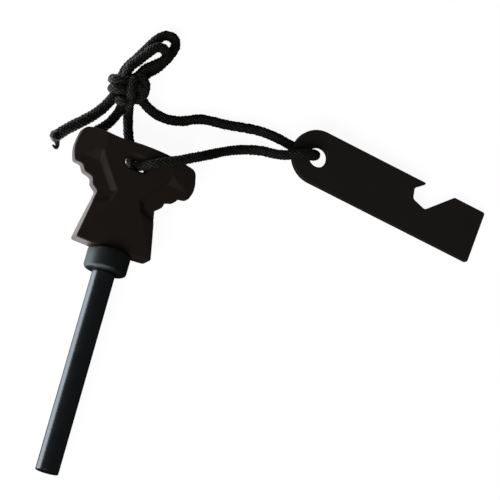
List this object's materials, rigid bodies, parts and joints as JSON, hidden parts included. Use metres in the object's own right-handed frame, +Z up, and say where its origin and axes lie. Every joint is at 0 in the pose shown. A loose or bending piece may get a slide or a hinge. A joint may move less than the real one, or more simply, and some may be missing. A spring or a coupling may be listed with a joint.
{
  "type": "ferrocerium fire starter with striker",
  "caption": "Pocket fire starter: black ferrocerium rod in a moulded grip, tied by a braided cord with a bow knot to a flat steel striker with a bottle opener notch.",
  "frame": {"origin": "middle of the foot of the box round the rigid pieces, on the table they lie on", "axes": "+Z up from the table, +Y along the rod towards the grip, +X across the grip towards the striker"},
  "size_m": [0.1586, 0.1619, 0.0174],
  "materials": {
    "grip_plastic": "fine satin moulded black",
    "collar_anodised": "satin blue-grey anodised",
    "glue": "black epoxy",
    "rod_coated": "satin black coating over ferrocerium",
    "striker_steel": "matte black coating",
    "cord_braid": "black braided sheath",
    "cord_melted": "melted cord end"
  },
  "bodies": {
    "grip": {"grip": "grip_plastic", "rod_collar": "collar_anodised", "collar_adhesive": "glue", "rod_adhesive": "glue", "ferro_rod": "rod_coated"},
    "lanyard": {"cord_tail_front": "cord_braid", "cord_long_bight": "cord_braid", "cord_tail_back": "cord_braid", "cord_short_bight": "cord_braid", "cord_knot_to_grip": "cord_braid", "cord_grip_to_striker": "cord_braid", "cord_striker_to_knot": "cord_braid", "cord_tip_front": "cord_melted", "cord_tip_back": "cord_melted", "cord_knot": "cord_braid"},
    "striker": {"striker_plate": "striker_steel"}
  },
  "joints": [
    {"name": "lanyard_swing", "type": "hinge", "parent": "grip", "child": "lanyard", "pos_m": [-0.05142, 0.03698, 0.00938], "axis": [0, -0.0494, 0.9988], "range_deg": [-12, 15]},
    {"name": "striker_swing", "type": "hinge", "parent": "lanyard", "child": "striker", "pos_m": [0.00978, 0.06271, 0.00525], "axis": [0.065, -0.0071, 0.9979], "range_deg": [-60, 60]}
  ]
}
